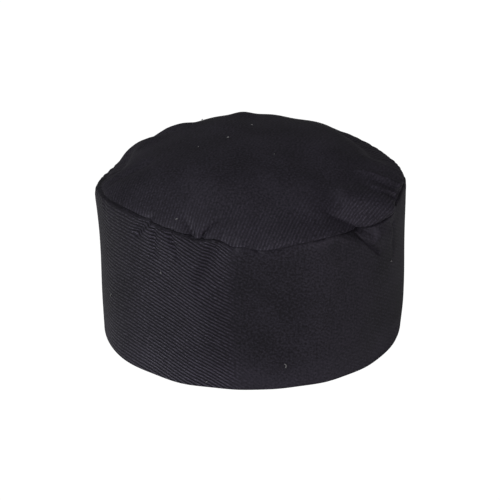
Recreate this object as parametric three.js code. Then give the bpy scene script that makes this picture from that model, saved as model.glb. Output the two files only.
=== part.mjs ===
// A chef's skull cap in black cotton twill: a plain side band sewn to a soft, domed crown top.
//
// Millimetres, +Z up. The cap rests by itself on the hem of its side band at z = 0, its front
// faces -Y and the middle of its outline is over the origin. Both pieces are hollow cloth walls,
// open below for the head. Azimuths are degrees from the front, growing to the viewer's right.

import * as THREE from 'three';

// Driving sizes
const HEAD_GIRTH = 585.6; // round the outside of the hem, a size 58 cap
const BAND_HEIGHT = 95; // from the hem to the crown seam, before the cloth sags
const DOME_FOOT = 97; // height from which the crown top's dome rises
const DOME_RISE = 28.5; // from there to the crown top's middle

// Cloth
const CLOTH = 1.4; // one layer of twill with its nap and its small creases
const HEM_CLOTH = 2.4; // two layers, where the band's lower edge is turned up inside
const HEM_HEIGHT = 25; // height of the turned-up edge
const SEAM_GAP = 0.3; // between the band's upper edge and the crown top's edge
const MOST_SLANT = 0.5; // the wall where the band curls in is measured across no flatter than this

// How the cloth rolls in at the crown seam
const CURL_HEIGHT = 6; // the band's uppermost stretch, which curls in to the seam
const LIP_REACH = 3; // where the crown top's soft lip stands out furthest, measured from the seam

// The dome's profile
const DOME_FULLNESS = 2.6; // higher is flatter on top, with steeper sides
const DOME_ROUNDNESS = 0.95; // lower is rounder at the seam

// At the seam folds press in level, so that both pieces move alike; further in they turn down
const FOLD_TURN = 25; // distance from the seam over which they turn
const FOLD_TILT = 65; // degrees below level that they end at

// Mesh
const AZIMUTH_STEPS = 96;
const BAND_ROWS = 11;
const CROWN_ROWS = 11;
const BAND_ROW_SPREAD = 1.6; // above 1, rows crowd towards the seam
const CROWN_ROW_SPREAD = 1.45;

const COLOURS = {
  side_band: '#2a282e',
  crown_top: '#28262b',
};

const HEM_RADIUS = HEAD_GIRTH / (2 * Math.PI);
const HEM_OFFSET = 1.1; // the hem's centre lies this far right of the outline's middle

// Sections round the cap, in millimetres. rim, low, high, shoulder and seam say how far the band
// stands out from the hem radius, going up; height is the seam's above the band height, and lip
// is how far the crown top swells over the seam.
const SECTIONS = [
  { azimuth: -112, rim: -0.4, low: 0.2, high: 1.8, shoulder: 2.8, seam: -1.2, height: -1.2, lip: 0.6 },
  { azimuth: -90, rim: -0.4, low: 0.0, high: 1.4, shoulder: 3.4, seam: -1.2, height: 0.6, lip: 0.6 },
  { azimuth: -70, rim: 0.0, low: 0.2, high: 1.2, shoulder: 2.4, seam: -0.2, height: 3.5, lip: 1.2 },
  { azimuth: -50, rim: 0.0, low: 0.0, high: 0.3, shoulder: 1.3, seam: -1.7, height: 4.5, lip: 2.0 },
  { azimuth: -32, rim: 0.0, low: 0.3, high: 0.4, shoulder: 1.8, seam: -0.7, height: 1.6, lip: 2.0 },
  { azimuth: -17, rim: 0.0, low: 0.3, high: 0.6, shoulder: 2.3, seam: -0.2, height: -0.6, lip: 1.6 },
  { azimuth: -6, rim: 0.0, low: 0.3, high: 0.8, shoulder: 2.6, seam: 0.4, height: -2.4, lip: 1.0 },
  { azimuth: 4, rim: 0.0, low: 0.3, high: 1.0, shoulder: 2.8, seam: 0.8, height: -5.0, lip: 0.6 },
  { azimuth: 16, rim: 0.0, low: 0.3, high: 1.0, shoulder: 2.3, seam: 0.8, height: -2.5, lip: 0.6 },
  { azimuth: 30, rim: -0.4, low: 0.2, high: 0.8, shoulder: 1.8, seam: 0.3, height: -1.6, lip: 0.8 },
  { azimuth: 46, rim: -1.0, low: 0.2, high: 0.8, shoulder: 1.3, seam: -0.2, height: -4.0, lip: 2.4 },
  { azimuth: 60, rim: -1.8, low: 0.2, high: 0.4, shoulder: 0.6, seam: -0.9, height: -1.5, lip: 2.8 },
  { azimuth: 75, rim: -2.0, low: 0.4, high: 0.2, shoulder: 0.0, seam: -1.6, height: 4.0, lip: 2.8 },
  { azimuth: 90, rim: -1.2, low: 0.6, high: 0.4, shoulder: 0.0, seam: -1.8, height: 4.5, lip: 2.4 },
  { azimuth: 110, rim: -1.2, low: 0.6, high: 0.6, shoulder: 0.4, seam: -1.2, height: 3.0, lip: 2.0 },
  { azimuth: 140, rim: -0.2, low: 0.4, high: 1.0, shoulder: 1.6, seam: -0.2, height: 2.5, lip: 1.6 },
  { azimuth: 180, rim: 0.0, low: 0.4, high: 1.3, shoulder: 2.2, seam: 0.2, height: 2.0, lip: 1.6 },
  { azimuth: 215, rim: -0.2, low: 0.2, high: 1.8, shoulder: 2.8, seam: 0.2, height: 1.0, lip: 1.2 },
];

// Where the band's columns apply, as a share of the way from the hem to the seam
const LEVELS = [
  { share: 0, column: 'rim' },
  { share: 0.22, column: 'low' },
  { share: 0.65, column: 'high' },
  { share: 1, column: 'shoulder' },
];

// Folds and dents, each along a line from one place to another. A place is an azimuth and a
// distance from the crown seam in millimetres, towards the middle of the crown top, or below
// zero down the band. depth presses in and a depth below zero swells out; width is the distance
// from the line at which about a third of it is left.
const FOLDS = [
  // Crown top, broad shapes
  { from: [-108, 7], to: [-88, 7], width: 6, depth: 4 },
  { from: [-116, 14], to: [-112, 22], width: 10, depth: -3.5 },
  { from: [-134, 20], to: [-130, 34], width: 9, depth: -2.8 },
  { from: [-125, 18], to: [-124, 34], width: 3.5, depth: 2 },
  { from: [96, 12], to: [120, 14], width: 9, depth: 3.5 },
  { from: [-174, 18], to: [-174, 44], width: 8, depth: -2.8 },
  { from: [44, 14], to: [64, 9], width: 9, depth: -3.2 },
  // Crown top, creases that run to the seam
  { from: [27, 16], to: [40, 4], width: 5.5, depth: 4.2 },
  { from: [-8, 22], to: [-20, 4], width: 4, depth: 3.2 },
  { from: [-31, 18], to: [-25, 3], width: 4, depth: 2 },
  { from: [-77, 8], to: [-73, 26], width: 5, depth: 2 },
  { from: [70, 24], to: [78, 5], width: 4, depth: -2 },
  // Side band, folds that hang from the seam
  { from: [-14, -5], to: [-21, -24], width: 6, depth: 2.6 },
  { from: [-38, -5], to: [-38, -17], width: 4, depth: 1.8 },
  { from: [-31, -5], to: [-28, -13], width: 3.5, depth: 1.6 },
  { from: [35, -8], to: [33, -17], width: 5, depth: 1.2 },
  { from: [44, -2], to: [53, -19], width: 3.5, depth: 3 },
  { from: [48, -4], to: [58, -12], width: 6, depth: -1.6 },
  { from: [61, -3], to: [64, -31], width: 4, depth: 2.6 },
];

const radians = THREE.MathUtils.degToRad;

// Smooth curve between the middle two of four points
function between(xs, ys, x) {
  const span = xs[2] - xs[1];
  const t = (x - xs[1]) / span;
  const slopeIn = (ys[2] - ys[0]) / (xs[2] - xs[0]);
  const slopeOut = (ys[3] - ys[1]) / (xs[3] - xs[1]);
  const bend = slopeIn * (1 - t) - slopeOut * t;
  return ys[1] + (ys[2] - ys[1]) * t * t * (3 - 2 * t) + span * t * (1 - t) * bend;
}

// The section at an index that may run past either end of the table, round the cap again
function section(index) {
  const turns = Math.floor(index / SECTIONS.length);
  const row = SECTIONS[index - turns * SECTIONS.length];
  return { ...row, azimuth: row.azimuth + 360 * turns };
}

// A column of the sections at any azimuth
function around(column, azimuth) {
  const start = SECTIONS[0].azimuth;
  const angle = start + THREE.MathUtils.euclideanModulo(azimuth - start, 360);
  let index = 0;
  while (section(index + 1).azimuth <= angle) index += 1;
  const rows = [-1, 0, 1, 2].map((step) => section(index + step));
  return between(rows.map((row) => row.azimuth), rows.map((row) => row[column]), angle);
}

function seamHeight(azimuth) {
  return BAND_HEIGHT + around('height', azimuth);
}

// How far out the band stands, at a share of the way up and before it curls in
function bandSwell(azimuth, share) {
  const xs = LEVELS.map((level) => level.share);
  const ys = LEVELS.map((level) => around(level.column, azimuth));
  const last = xs.length - 1;
  xs.unshift(2 * xs[0] - xs[1]);
  ys.unshift(2 * ys[0] - ys[1]);
  xs.push(2 * xs[last + 1] - xs[last]);
  ys.push(2 * ys[last + 1] - ys[last]);
  let index = 0;
  while (index < last - 1 && xs[index + 2] <= share) index += 1;
  return between(xs.slice(index, index + 4), ys.slice(index, index + 4), share);
}

// How deep the folds press in at a place, measured on the cloth as if it lay flat
function foldDepth(azimuth, along) {
  const flat = (angle, distance) => {
    const arc = radians(angle) * (HEM_RADIUS - Math.max(distance, 0));
    return new THREE.Vector3(arc, distance, 0);
  };
  return FOLDS.reduce((sum, { from, to, width, depth }) => {
    const middle = (from[0] + to[0]) / 2;
    const turned = THREE.MathUtils.euclideanModulo(azimuth - middle + 180, 360) - 180;
    const line = new THREE.Line3(flat(from[0] - middle, from[1]), flat(to[0] - middle, to[1]));
    const point = flat(turned, along);
    const nearest = line.closestPointToPoint(point, true, new THREE.Vector3());
    return sum + depth * Math.exp(-((point.distanceTo(nearest) / width) ** 2));
  }, 0);
}

// Distance from the cap's axis and height of the band's outer face, before any fold
function bandProfile(azimuth, share) {
  const top = seamHeight(azimuth);
  const z = top * share;
  const tuck = around('shoulder', azimuth) - around('seam', azimuth);
  const curl = Math.max(0, 1 - (top - z) / CURL_HEIGHT);
  return { radius: HEM_RADIUS + bandSwell(azimuth, share) - tuck * curl ** 2, z };
}

// The same for the crown top, at a share of the way from the seam to the middle
function crownProfile(azimuth, share) {
  const edge = HEM_RADIUS + around('seam', azimuth);
  const left = 1 - share;
  const reach = (edge * share) / LIP_REACH;
  const lip = around('lip', azimuth) * reach * Math.exp(1 - reach);
  const foot = THREE.MathUtils.lerp(DOME_FOOT, seamHeight(azimuth) + SEAM_GAP, left ** 2);
  const dome = DOME_RISE * (1 - left ** DOME_FULLNESS) ** DOME_ROUNDNESS;
  return { radius: edge * left + lip, z: foot + dome };
}

// Direction straight out of a profile's face, as a part across and a part up
function facing(profile, azimuth, share) {
  const step = 0.002; // a fifth of a millimetre of cloth or less
  const below = profile(azimuth, Math.max(0, share - step));
  const above = profile(azimuth, Math.min(1, share + step));
  const out = new THREE.Vector2(above.z - below.z, below.radius - above.radius);
  return out.normalize();
}

function place(azimuth, radius, z) {
  const angle = radians(azimuth);
  return new THREE.Vector3(HEM_OFFSET + radius * Math.sin(angle), -radius * Math.cos(angle), z);
}

// A point of the band, outside (inset 0) or inside by the cloth's thickness
function bandPoint(azimuth, share, inset) {
  const { radius, z } = bandProfile(azimuth, share);
  const across = Math.max(facing(bandProfile, azimuth, share).x, MOST_SLANT);
  const fold = foldDepth(azimuth, z - seamHeight(azimuth));
  return place(azimuth, radius - fold - inset / across, z);
}

// A point of the crown top, outside or inside in the same way
function crownPoint(azimuth, share, inset) {
  const { radius, z } = crownProfile(azimuth, share);
  const along = (HEM_RADIUS + around('seam', azimuth)) * share;
  const tilt = radians(FOLD_TILT) * THREE.MathUtils.smoothstep(along, 0, FOLD_TURN);
  const fold = foldDepth(azimuth, along);
  const out = share === 0 ? new THREE.Vector2(1, 0) : facing(crownProfile, azimuth, share);
  const depth = new THREE.Vector2(Math.cos(tilt), Math.sin(tilt)).multiplyScalar(fold);
  depth.addScaledVector(out, inset);
  return share === 1 ? place(0, 0, z - inset) : place(azimuth, radius - depth.x, z - depth.y);
}

// A ring of points round the cap
function ring(pointAt) {
  return Array.from({ length: AZIMUTH_STEPS }, (_, index) => pointAt((360 * index) / AZIMUTH_STEPS));
}

// A closed mesh over rings of points, each joined to the next; a ring of one point closes an end
function skin(rings) {
  const positions = [];
  const starts = [];
  for (const points of rings) {
    starts.push(positions.length / 3);
    for (const point of points) positions.push(point.x, point.y, point.z);
  }
  const indices = [];
  for (let row = 0; row < rings.length; row += 1) {
    const next = (row + 1) % rings.length;
    const closing = rings[row].length === 1 && rings[next].length === 1;
    if (closing) continue;
    for (let step = 0; step < AZIMUTH_STEPS; step += 1) {
      const beside = (step + 1) % AZIMUTH_STEPS;
      const [a, b] = [step, beside].map((at) => starts[row] + (rings[row].length === 1 ? 0 : at));
      const [c, d] = [step, beside].map((at) => starts[next] + (rings[next].length === 1 ? 0 : at));
      if (a !== b) indices.push(a, b, c);
      if (c !== d) indices.push(b, d, c);
    }
  }
  const geometry = new THREE.BufferGeometry();
  geometry.setAttribute('position', new THREE.Float32BufferAttribute(positions, 3));
  geometry.setIndex(indices);
  geometry.computeVertexNormals();
  return geometry;
}

// The side band: up its outer face, over its upper edge, and down its inner face to the hem
function sideBand() {
  const shares = Array.from({ length: BAND_ROWS + 1 }, (_, row) => (
    1 - (1 - row / BAND_ROWS) ** BAND_ROW_SPREAD
  ));
  const wall = (share) => (share * BAND_HEIGHT < HEM_HEIGHT ? HEM_CLOTH : CLOTH);
  const outer = shares.map((share) => ring((azimuth) => bandPoint(azimuth, share, 0)));
  const inner = shares.map((share) => ring((azimuth) => bandPoint(azimuth, share, wall(share))));
  return skin([...outer, ...inner.reverse()]);
}

// The crown top: from its middle down to the seam outside, and back up inside
function crownTop() {
  const shares = Array.from({ length: CROWN_ROWS }, (_, row) => (row / CROWN_ROWS) ** CROWN_ROW_SPREAD);
  const outer = shares.map((share) => ring((azimuth) => crownPoint(azimuth, share, 0)));
  const inner = shares.map((share) => ring((azimuth) => crownPoint(azimuth, share, CLOTH)));
  return skin([[crownPoint(0, 1, CLOTH)], ...inner.reverse(), ...outer, [crownPoint(0, 1, 0)]]);
}

// A named piece of black twill, a matt cloth
function piece(name, geometry) {
  const material = new THREE.MeshStandardMaterial({ color: COLOURS[name], roughness: 0.9, metalness: 0 });
  const mesh = new THREE.Mesh(geometry, material);
  mesh.name = name;
  return mesh;
}

const cap = new THREE.Group();
cap.add(piece('side_band', sideBand()));
cap.add(piece('crown_top', crownTop()));

export default cap;
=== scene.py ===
"""A chef's skull cap in black cotton twill, laid out as a Blender add-on and run as a script.

Metres, +Z up, the front towards -Y. Tables give millimetres, and azimuths in degrees from the
front, growing to the viewer's right. The cap stands by itself on the hem of its side band.
"""

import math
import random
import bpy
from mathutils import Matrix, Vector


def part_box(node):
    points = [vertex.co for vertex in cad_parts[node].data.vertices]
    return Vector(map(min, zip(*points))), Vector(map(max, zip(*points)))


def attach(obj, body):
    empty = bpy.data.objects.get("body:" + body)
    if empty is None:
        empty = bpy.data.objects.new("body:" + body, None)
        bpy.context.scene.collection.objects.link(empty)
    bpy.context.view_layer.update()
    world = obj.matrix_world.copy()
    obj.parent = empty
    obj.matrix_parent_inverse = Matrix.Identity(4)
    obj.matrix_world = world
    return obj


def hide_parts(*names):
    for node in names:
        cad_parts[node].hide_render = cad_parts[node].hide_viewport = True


bl_info = {
    "name": "Chef Skull Cap",
    "version": (1, 0, 0),
    "blender": (4, 5, 0),
    "location": "View3D > Sidebar > Chef Cap",
    "description": "Builds a black twill skull cap: side band, crown top, stitching, lint and studio",
    "category": "Object",
}

from collections import namedtuple

import bpy
import numpy as np
from bpy.props import FloatProperty, FloatVectorProperty, IntProperty, PointerProperty
from mathutils import Vector

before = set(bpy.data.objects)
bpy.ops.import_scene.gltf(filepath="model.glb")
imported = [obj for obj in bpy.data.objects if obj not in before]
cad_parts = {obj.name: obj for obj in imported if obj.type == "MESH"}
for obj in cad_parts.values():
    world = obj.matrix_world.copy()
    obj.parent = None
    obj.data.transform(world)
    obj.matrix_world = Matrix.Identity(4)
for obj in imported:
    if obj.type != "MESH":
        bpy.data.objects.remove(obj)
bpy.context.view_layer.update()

MM = 0.001
FULL_TURN = 360.0

# The cap's plan and profile, as the frame has them. The band's levels are shares of its height, where
# the sections below say how far it stands out.
HEM_GIRTH = 585.6
HEM_RADIUS = HEM_GIRTH / (2 * math.pi)
HEM_OFFSET = 1.1
BAND_HEIGHT = 95.0
LEVELS = (0.0, 0.22, 0.65, 1.0)
LEVEL_COLUMNS = ("rim", "low", "high", "shoulder")
DOME_FOOT = 97.0
DOME_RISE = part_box("crown_top")[1].z / MM - DOME_FOOT
DOME_FULLNESS = 2.6
DOME_ROUNDNESS = 0.95

# Sections round the cap. rim, low, high, shoulder and seam are how far the band stands out from
# the hem radius, going up. height is the seam's above the band height. lip is how far the crown
# top swells over the seam, groove how deep the seam sinks between the two, and pucker how strongly
# the cloth is gathered there. ribs is how plainly the band's ribs show, and it also paints light
# and shade into the band's colour: lighter where it is above 1, darker below. grain is how far its
# weave has slipped upwards.
Section = namedtuple(
    "Section", "azimuth rim low high shoulder seam height lip groove pucker ribs grain")
SECTIONS = (
    Section(-112, -0.4, 0.2, 1.6, 2.3, -1.4, -2.6, 0.6, 1.0, 0.7, 0.5, 32),
    Section(-90, -0.4, 0.0, 1.4, 3.4, -1.2, 0.6, 0.6, 1.0, 0.6, 0.6, 29),
    Section(-70, 0.0, 0.2, 1.2, 2.2, 0.1, 3.5, 1.0, 1.0, 0.4, 0.5, 22.4),
    Section(-50, 0.0, 0.0, 0.3, 0.9, -1.4, 4.5, 0.4, 1.0, 0.2, 0.95, 8.0),
    Section(-32, 0.2, 0.8, 0.8, 1.8, -0.7, 1.6, 0.2, 1.0, 0.15, 1.7, 0.3),
    Section(-17, 0.4, 1.2, 1.3, 1.9, -0.2, -0.6, 0.2, 0.9, 0.15, 1.4, -0.5),
    Section(-11, 0.2, 0.6, 0.8, 2.1, 0.0, -1.4, 0.3, 0.8, 0.15, 1.25, 0.3),
    Section(-5, -0.1, -0.2, 0.2, 2.5, 0.1, -2.5, 0.4, 0.2, 0.15, 0.3, 1.3),
    Section(4, -0.4, -1.1, -0.6, 2.9, 0.0, -5.0, 0.6, 0.1, 0.15, 0.1, 2.8),
    Section(16, -0.2, -0.7, -0.2, 1.8, 0.0, -2.5, 0.6, 0.1, 0.15, 0.1, 4.7),
    Section(30, -0.3, 0.7, 1.0, 0.9, -0.3, -1.6, 0.8, 0.2, 0.15, 0.1, 6.5),
    Section(46, -1.0, 0.4, 0.9, 0.9, -0.3, -4.0, 1.8, 0.9, 0.2, 0.1, 8.0),
    Section(60, -1.8, 0.2, 0.4, 0.6, -0.9, -1.5, 2.4, 1.0, 0.2, 0.1, 9.5),
    Section(75, -2.0, 0.4, 0.2, 0.0, -1.6, 4.0, 2.6, 1.0, 0.4, 0.05, 11),
    Section(90, -1.2, 0.6, 0.4, 0.0, -1.8, 4.5, 2.4, 1.0, 0.8, 0.05, 13),
    Section(110, -1.2, 0.6, 0.6, 0.3, -1.4, 2.4, 2.0, 1.0, 0.8, 0.4, 16),
    Section(140, -0.2, 0.4, 1.0, 1.6, -0.2, 2.5, 1.6, 1.0, 0.7, 0.5, 21),
    Section(180, 0.0, 0.4, 1.3, 2.2, 0.2, 2.0, 1.6, 1.0, 0.8, 0.5, 27),
    Section(215, -0.2, 0.2, 1.8, 2.8, 0.2, 1.0, 1.2, 1.0, 0.8, 0.5, 31),
)

# Small nicks in the run of the seam: at an azimuth, up by height, over about width in millimetres
Nick = namedtuple("Nick", "azimuth height width")
NICKS = (
    Nick(-21.0, -1.0, 3.5),
    Nick(-13.5, 1.2, 4.0),
    Nick(-7.0, -1.2, 3.5),
)

# Folds and dents, each along a line between two places: an azimuth, and a distance from the crown
# seam towards the middle of the crown top, or below zero down the band. left and right are its
# reach on either side of the line as it runs from start to end. depth presses in, or swells out
# below zero, and faint is the share of it left at the start. crease is 2 for a round fold and 1 for
# a sharp one.
Fold = namedtuple("Fold", "start end left right depth faint crease")
FOLDS = (
    # Crown top, broad shapes
    Fold((-110, 8), (-92, 6), 7, 6, 5.4, 0.5, 2),
    Fold((-124, 8), (-119, 6), 8, 7, -1.5, 1, 2),
    Fold((-116, 14), (-112, 22), 10, 10, -3.5, 1, 2),
    Fold((-134, 20), (-130, 34), 9, 9, -2.8, 1, 2),
    Fold((-125, 18), (-124, 34), 3.5, 3.5, 2.0, 1, 2),
    Fold((98, 14), (124, 16), 10, 10, 4.0, 1, 2),
    Fold((-174, 18), (-174, 44), 8, 8, -2.8, 1, 2),
    Fold((-38, 34), (-12, 34), 16, 16, -2.4, 1, 2),
    # Crown top, right: a deep crease into the seam, the puff over it and small ridges beyond
    Fold((25, 9), (38, 4), 5, 6, 2.4, 0.6, 2),
    Fold((35, 9.5), (44, 0.5), 6.6, 4.4, 6.9, 0.45, 1.4),
    Fold((46, 17.5), (60.5, 6), 7, 7, -5.6, 0.75, 2),
    Fold((60, 13), (68, 4), 2.2, 2.2, 2.4, 0.5, 2),
    Fold((64, 13), (69.5, 4), 1.6, 2.4, -2.3, 0.6, 1.8),
    Fold((68, 22), (75, 5), 1.8, 2.6, -3.2, 0.6, 1.7),
    Fold((67, 2.5), (74, 2), 1.6, 1.6, 1.4, 1, 2),
    # Crown top, front left: two creases that run to the seam and the ridge between them
    Fold((-14, 11.5), (-18.6, 0.8), 0.9, 1.3, 3.8, 0.3, 1.3),
    Fold((-28.5, 8), (-23, 0.8), 2.6, 1.8, 2.6, 0.3, 1.6),
    Fold((-20.3, 12), (-21, 2), 1.8, 1.8, -0.7, 0.2, 2),
    Fold((-77, 8), (-73, 26), 5, 5, 2.0, 1, 2),
    # Side band, left: folds that hang from the seam
    Fold((-47, -11), (-41.5, -1), 2.8, 1.8, 2.6, 0.7, 1.7),
    Fold((-46, -6), (-48, -11), 3.5, 3.5, 0.8, 1, 2),
    Fold((-38.5, -19), (-38, -4), 2.2, 2.2, 2.0, 0.4, 1.8),
    Fold((-27, -16), (-31.3, -1), 1.8, 1.6, 1.9, 0.3, 1.6),
    Fold((-19, -27), (-14, -6), 4, 6.5, 3.0, 0.5, 2),
    Fold((-34, -9), (-34.5, -18), 2.5, 2.5, -0.5, 1, 2),
    # Side band, front and right
    Fold((22.5, -0.7), (26.5, -0.4), 0.8, 0.8, 0.7, 1, 1.5),
    Fold((46, -3), (49, -6), 2.2, 2.2, 0.9, 1, 2),
    Fold((2.6, -1.6), (0.5, -0.2), 0.9, 0.9, 1.2, 0.5, 1.5),
    Fold((32, -8), (34, -16), 4.5, 4.5, 1.0, 1, 2),
    Fold((41.8, -1.5), (52.5, -18.4), 0.9, 1.0, 2.8, 0.5, 1.4),
    Fold((53, -8), (60, -13), 5.5, 5.5, -1.6, 1, 2),
    Fold((64, -29), (63, -9), 2.4, 1.6, 1.1, 0.4, 1.7),
)

# Stray fibres caught on the cloth: an azimuth, a distance from the crown seam as for the folds, the
# fibre's length in millimetres and how far it is turned
Lint = namedtuple("Lint", "azimuth along length turn")
LINT = (
    Lint(-65.5, -61.5, 1.4, 20),
    Lint(-35, -28.5, 1.1, 100),
    Lint(-17, -90.5, 1.2, 40),
    Lint(61.5, -31.5, 1.7, 75),
    Lint(12, -76.8, 2.4, 120),
    Lint(-30.5, 5.5, 1.1, 10),
    Lint(-64, 56, 0.6, 60),
    Lint(-70, 77, 1.3, 20),
    Lint(-178, 73, 0.6, 140),
    Lint(24, 62, 0.5, 80),
    Lint(128, -40, 1.2, 30),
    Lint(-150, 30, 1.1, 150),
)

# The crown seam. The band rolls in over the height of its curl, and a share of that within a tighter
# one. The lip and the nicks die out over their reach. Where the groove is shallow, the crown top leaves
# the band's bend that many degrees further out. Both turnings lean inwards by a share of their length,
# the crown top's is trimmed shorter, and cloth that touches keeps this far apart.
CURL_HEIGHT = 6.0
TIGHT_CURL = 1.6
TIGHT_SHARE = 0.58
LIP_REACH = 4.0
NICK_REACH = 3.0
SHALLOW_SEAM_TURN = 55.0
TURNING_LEAN = 0.03
CROWN_TRIM = 0.6
SEAM_TOUCH = 0.06

# How round the hem's fold is, in thicknesses of the cloth
HEM_BEND = 1.25

# The closing seam down the back of the band, pressed open over its two turned edges
CLOSING_SEAM_DEPTH = 0.7
CLOSING_SEAM_WIDTH = 0.45
CLOSING_SEAM_SWELL = 0.35
TURNED_EDGE = 8.0

# Over how far a fold's reach changes from its one side to the other. On the crown top, folds press
# inwards at the seam, and have tilted downwards by so many degrees where they are FOLD_TURN away from
# it. They die out within this share of its radius.
FOLD_BLEND = 1.0
FOLD_TURN = 25.0
FOLD_TILT = 65.0
CROWN_CALM = 0.3

# Seeded waves: how many are added up, their shortest and longest, and how far they drift or lean. The
# gathers are strongest about PUCKER_REACH from the crown seam, and half as strong at the seam itself.
# The slackness comes in further off.
WAVES = 9
GATHER_LENGTHS = (6.0, 16.0)
GATHER_DRIFT = 3.0
PUCKER_REACH = 4.0
PUCKER_START = 0.25
SLACK_LENGTHS = (24.0, 80.0)
SLACK_LEAN = 0.5
SLACK_REACH = 30.0

# Thread strokes of a stitch, in shares of its length, the thread's thickness and its height: the
# overlock's slanting loops with the edge thread over them, and the hem's small blind stitches. They
# follow a line of many points, the blind ones a little below the hem's overlock.
OVERLOCK_STROKES = (
    ((0.0, 0.0, 0.0), (0.45, 0.0, 1.0)),
    ((0.45, 0.0, 1.0), (1.0, 0.0, 0.0)),
    ((-0.1, 0.6, 0.05), (1.1, 0.6, 0.05)),
    ((0.0, 0.6, 0.85), (0.8, 0.6, 0.85)),
)
BLIND_STROKES = (
    ((0.0, 0.0, 0.0), (0.5, 0.0, 1.0)),
    ((0.5, 0.0, 1.0), (1.0, 0.0, 0.0)),
)
STITCH_POINTS = 720
BLIND_DROP = 2.0
THREAD_SIDES = 5

# A stray fibre's curl, in shares of its length: its start, the two handles of its curve and its end.
# The cloth's slope under it is taken over a small step to each side.
FIBRE_CURL = ((-0.5, 0, 0), (-0.3, 0.5, 0.5), (0.1, -0.6, 0.4), (0.5, 0.1, 0))
FIBRE_STEPS = 8
FIBRE_SIDES = 6
SPOT_STEP = 0.5

# The slant of the ribs in degrees. They show plainly from a little below the seam on the band, and
# faintly on the cloth's back and the flat of the crown top. Along the crown top's edge they come in
# over a run of cloth from its middle, and fade at its sides by the azimuth's cosine.
BAND_RIB_SLANT = -65.0
CROWN_RIB_SLANT = 21.0
BAND_RIB_START = (0.3, 2.0)
PLAIN_RIBS = 0.06
CROWN_RIBS = 0.36
CROWN_RIB_RUN = (68.0, 90.0)
CROWN_RIB_SIDES = 0.6

# How much painted light and shade the band's colour gets: lighter or darker with the ribs column,
# and lighter along the hem up to a height in millimetres, as light from below would make it
RIB_PAINTED_SHADING = 0.55
HEM_PAINTED_LIGHT = 0.8
HEM_PAINTED_LIGHT_HEIGHT = 28.0

# The twill's pattern. RIB_LEVEL is the wave's value half-way up a rib, and RIB_SWING how far ribs
# rise and sink from there. The yarn's unevenness breaks the ribs, adds to their relief, and mottles the
# colour together with the nap. The roughness goes from the valleys to the ribs.
RIB_LEVEL = 0.45
RIB_SWING = 0.5
YARN_RANGE = (0.35, 0.65)
BROKEN_RIBS = (0.5, 1.5)
YARN_RELIEF = 0.35
YARN_MOTTLE = 2.6
MOTTLE_RANGE = (1.4, 2.2)
MOTTLE_TONE = (0.35, 1.65)
TWILL_ROUGHNESS = (0.85, 0.34)

# The thread's twist, from one turn to the next and its depth, and the clumps in a fibre of lint
PLY_LENGTH = 0.8
PLY_DEPTH = 0.1
LINT_CLUMP = 0.9

# The length at which Blender's wave texture repeats when its scale is 1
WAVE_PERIOD = math.pi / 10

# Where Blender's Mix node has its two colours and what comes out
MIX_A = 6
MIX_B = 7
MIX_OUT = 2

# Mesh. Rings have their points closer together at the front and, within a degree or so, at the back
# seam, which takes a sum over many small steps. Rows lie closer towards the crown seam. The dome's
# innermost rings have the fewest points, and its back leaves out the lip's rows.
COLUMNS = 576
RING_STEPS = 200
FRONT_CROWDING = 0.45
BACK_CROWDING = 6.0
BACK_SPAN = 0.9
WALL_ROWS = 84
WALL_SPREAD = 1.35
TURNING_ROWS = 6
BEND_ROWS = 6
HEM_ROWS = 8
DOME_ROWS = 88
DOME_SPREAD = 1.4
LIP_ROWS = 10
COARSEST_RING = 18

# Studio, in metres and degrees. The camera's sensor is in millimetres and its picture in pixels.
SENSOR_WIDTH = 36.0
PICTURE_WIDTH = 500
TARGET = (-0.0006, 0.0, 0.0505)
Softbox = namedtuple("Softbox", "name azimuth elevation colour")
SOFTBOXES = (
    Softbox("key", -44, 32, "#fbfffc"),
    Softbox("fill", 50, 6, "#fffbfe"),
    Softbox("top", 0, 88, "#ffffff"),
)
SOFTBOX_SIZE = (0.45, 0.7)
SOFTBOX_DISTANCE = 1.3
FLOOR_REACH = 4.0
FLOOR_WHITE = 1.05
WORLD_LIGHT = 0.1


def linear(hex_colour):
    """An sRGB hex colour as linear red, green and blue."""
    channels = [int(hex_colour[i:i + 2], 16) / 255 for i in (1, 3, 5)]
    return tuple(c / 12.92 if c <= 0.04045 else ((c + 0.055) / 1.055) ** 2.4 for c in channels)


class CapSizes(bpy.types.PropertyGroup):
    """Sizes of the cloth and the sewing"""

    cloth: FloatProperty(
        name="Cloth", description="Thickness of the twill", default=0.7 * MM, unit="LENGTH")
    hem_height: FloatProperty(
        name="Hem height", description="How far the lower edge is turned up inside",
        default=25 * MM, unit="LENGTH")
    turning: FloatProperty(
        name="Turning", description="Seam allowance that hangs inside from the crown seam",
        default=9 * MM, unit="LENGTH")
    pucker: FloatProperty(
        name="Pucker", description="Depth of the small gathers along the crown seam",
        default=0.45 * MM, unit="LENGTH")
    slack: FloatProperty(
        name="Slack", description="Depth of the soft unevenness all over the cloth",
        default=0.5 * MM, unit="LENGTH")
    stitch: FloatProperty(
        name="Stitch", description="Length of a stitch", default=2.8 * MM, unit="LENGTH")
    overlock: FloatProperty(
        name="Overlock", description="Height of the overlock stitches on a raw edge",
        default=4 * MM, unit="LENGTH")
    thread: FloatProperty(
        name="Thread", description="Thickness of the sewing thread", default=0.35 * MM,
        unit="LENGTH")
    lint: FloatProperty(
        name="Lint", description="Thickness of a clump of stray fibres", default=0.22 * MM,
        unit="LENGTH")
    seed: IntProperty(
        name="Seed", description="Seed of the gathers and the unevenness", default=11)


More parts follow.
